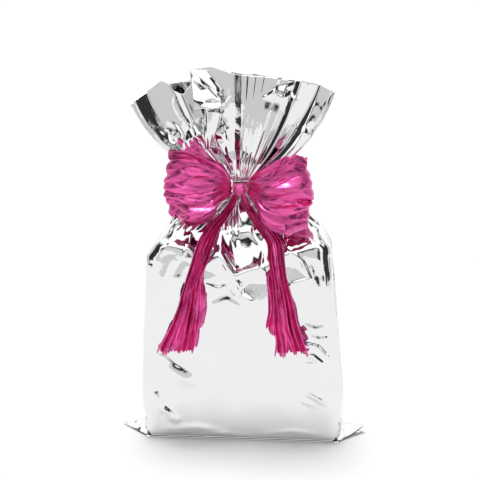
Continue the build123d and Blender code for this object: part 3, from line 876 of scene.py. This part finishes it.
def tail_film(seed, rows, z_top, z_end, pleats, size, slant, back=0.0):
    """A ribbon end gathered lengthwise; it widens below and its cut edge is ragged.

    c runs from 0 to 1 across the ribbon, and t down it."""
    rng = np.random.default_rng(seed)
    rows = np.array(rows)[::-1]
    drape = np.array(DRAPE)[::-1]
    c = np.linspace(0, 1, 96)[None, :]
    marks = np.sort(rng.uniform(0, 1, 9))
    ragged = np.interp(c, np.concatenate([[0], marks, [1]]), rng.uniform(-5.5, 4.5, 11))
    ragged = ragged + 1.2 * zigzag(c * 13 + 0.2)
    end = z_end + ragged + slant * (c - 0.5)
    t = np.linspace(0, 1, 170)[:, None]
    z = z_top + (end - z_top) * t
    left, right = smooth_curve(z, rows[:, 0], rows[:, 1]), smooth_curve(z, rows[:, 0], rows[:, 2])
    wander = 0.22 * waves(seed + 1, z + 0 * c, c * 30, 70)
    warp = c + 0.055 * np.sin(c * 9 + seed) + 0 * z
    x = left + (right - left) * c
    y = smooth_curve(z, drape[:, 0], drape[:, 1]) + back
    depth = size * smooth_curve(t, [0, 0.15, 0.5, 1], [0.35, 0.7, 0.85, 1.2])
    depth = depth * (1 + 0.35 * np.sin(c * 14 + 2 * seed))
    pleat = zigzag(warp * pleats + wander)
    crinkle = blur(creased(seed + 2, z * 0.35, c * 34, (26, 92), (0, 34), 4.2), 0.4, 0.4)
    coarse = creased(seed + 3, z * 0.5, c * 20, (40, 130), (-6, 26), 8.5)
    y = y - depth * (0.5 + 0.5 * blur(pleat, 0, 0.6)) - 0.9 * crinkle - 1.6 * coarse * step(0, 0.3, t)
    x = x + 0.22 * depth * np.cos(2 * math.pi * (warp * pleats + wander)) * np.sin(math.pi * c)
    return np.swapaxes(np.stack([x, y, z + 0 * c], axis=2), 0, 1)


def knot_film():
    """The crossing ribbon of the knot, pulled tight and creased across."""
    u = np.linspace(0, 2 * math.pi, 97)[None, :]
    v = np.linspace(-math.pi / 2, math.pi / 2, 49)[:, None]
    centre = (KNOT_LOW + KNOT_HIGH) / 2
    radius = (KNOT_HIGH - KNOT_LOW) / 2

    def puff(value, power=0.6):
        return np.sign(value) * np.abs(value) ** power

    crease = 1.1 * zigzag(v * 1.1 + 0.3 + 0.22 * np.sin(u * 1.5))
    crease = crease + 0.9 * creased(5, u * 6, v * 12, (0, 38), (-19, 19), 3)
    swell = 1 + 0.07 * crease
    x = centre[0] + radius[0] * 0.96 * puff(np.cos(v)) * puff(np.cos(u)) * swell
    y = centre[1] - 1.0 + (radius[1] + 0.3) * puff(np.cos(v)) * puff(np.sin(u)) * swell
    z = centre[2] + radius[2] * 0.98 * puff(np.sin(v), 0.8) * swell
    return np.stack([x, y, z + 0 * x], axis=2)


def wrap_film():
    """Ribbon round the neck, seen from behind: a band creased along its length."""
    turn = np.linspace(0, 2 * math.pi, 145)[None, :]
    across = np.linspace(0, 2 * math.pi, 49)[:, None]
    folds = 0.35 * zigzag(across * 1.6 + 0.25 * np.sin(turn * 3))
    folds = folds + 0.3 * creased(9, turn * 9, across * 3, (0, 57), (0, 19), 2.4)
    radius = 7.95 + (0.95 + 0.25 * folds) * np.cos(across)
    z = (NECK_Z0 + NECK_Z1) / 2 + (4.6 + 0.2 * folds) * np.sin(across)
    return np.stack([NECK_X + radius * np.cos(turn), radius * np.sin(turn), z + 0 * turn], axis=2)


# ---------------------------------------------------------------- the pieces
FILM_THICK, WELD_THICK, SEAM_THICK, RIBBON_THICK = 0.2, 0.5, 0.3, 0.3  # mm
WELD_REACH = 1.5  # mm, how far a side weld stands out of the bag


def add_film(film):
    """Each panel is one sheet of film: half the underside, the body, the neck and the ruffle."""

    def piece(obj, *nodes):
        return finish_piece(obj, "bag", nodes, "film", film)

    ruffle_front, ruffle_back = ruffle_film(-1, FRONT_FOLDS), ruffle_film(1, BACK_FOLDS)
    front = mesh_of("film_front", [body_film(-1), ruffle_front, bottom_film(-1)])
    piece(thicken(front, FILM_THICK), "front_film_panel", "gathered_neck", "front_ruffle")
    back = mesh_of("film_back", [body_film(1), ruffle_back, bottom_film(1)], [True] * 3)
    piece(thicken(back, FILM_THICK), "back_film_panel", "back_ruffle")
    flap = piece(thicken(mesh_of("film_flap", flap_film()), FILM_THICK), "front_ruffle")
    cup = piece(thicken(mesh_of("film_cup", [cup_film()]), FILM_THICK), "front_ruffle")

    edges = []
    for side, name, column in ((-1, "left", 0), (1, "right", -1)):
        heights = np.linspace(5, NECK_Z0 - 8, 150)
        edge = smooth_curve(heights, BODY[:, 0], BODY[:, 1] + side * BODY[:, 2] / 2)
        weld = mesh_of(f"{name}_weld", [side_weld(side, heights, edge, WELD_REACH)])
        piece(thicken(weld, WELD_THICK), f"{name}_side_weld")
        upper, lower = ear_film(side)
        ear = mesh_of(f"{name}_ear", [upper, lower], [side < 0, side > 0])
        piece(ear, f"{name}_bottom_ear", f"{name}_ear_weld")
        edge = (ruffle_front[:, column] + ruffle_back[:, column]) / 2
        fin = mesh_of(f"{name}_mouth_fin", [mouth_weld(edge, side)])
        piece(thicken(fin, WELD_THICK), f"{name}_mouth_weld")
        edges += [weld, ear, fin]
    under = piece(thicken(mesh_of("bottom_seam", [seam_film()], [True]), SEAM_THICK), "bottom_weld")


def add_bow(ribbon):
    def piece(obj, body, node):
        return finish_piece(obj, body, [node], "ribbon", ribbon)

    loops = [
        mesh_of("loop_left", [loop_film(-1, LEFT_LOOP, LEFT_TURN, 12, 0.15)]),
        mesh_of("loop_right", [loop_film(1, RIGHT_LOOP, RIGHT_TURN, 6, 0.55)]),
    ]
    main = {"z_top": 247.5, "z_end": 97, "pleats": 4, "size": 3.6}
    inner = {"z_top": 180, "pleats": 2.5, "size": 3.2, "back": 1.6}
    tails = [
        mesh_of("tail_left", [
            tail_film(31, LEFT_TAIL, slant=5, **main),
            tail_film(33, LEFT_INNER, z_end=117, slant=8, **inner),
        ]),
        mesh_of("tail_right", [
            tail_film(37, RIGHT_TAIL, slant=3, **main),
            tail_film(39, RIGHT_INNER, z_end=116, slant=-8, **inner),
        ]),
    ]
    for name, loop, tail in zip(("left", "right"), loops, tails):
        piece(thicken(loop, RIBBON_THICK), f"{name}_loop", f"{name}_bow_loop")
        piece(thicken(tail, RIBBON_THICK), f"{name}_tail", f"{name}_ribbon_tail")
    piece(mesh_of("knot", [knot_film()]), "bag", "bow_knot")
    piece(mesh_of("neck_wrap", [wrap_film()]), "bag", "ribbon_neck_wrap")


def main():
    add_camera()
    add_world()
    add_table_and_sun()
    board = board_material()
    for name in ("carton_tray", "carton_lid"):
        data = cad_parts[name].data
        data.materials.clear()
        data.materials.append(board)
    add_film(film_material())
    add_bow(ribbon_material())


main()
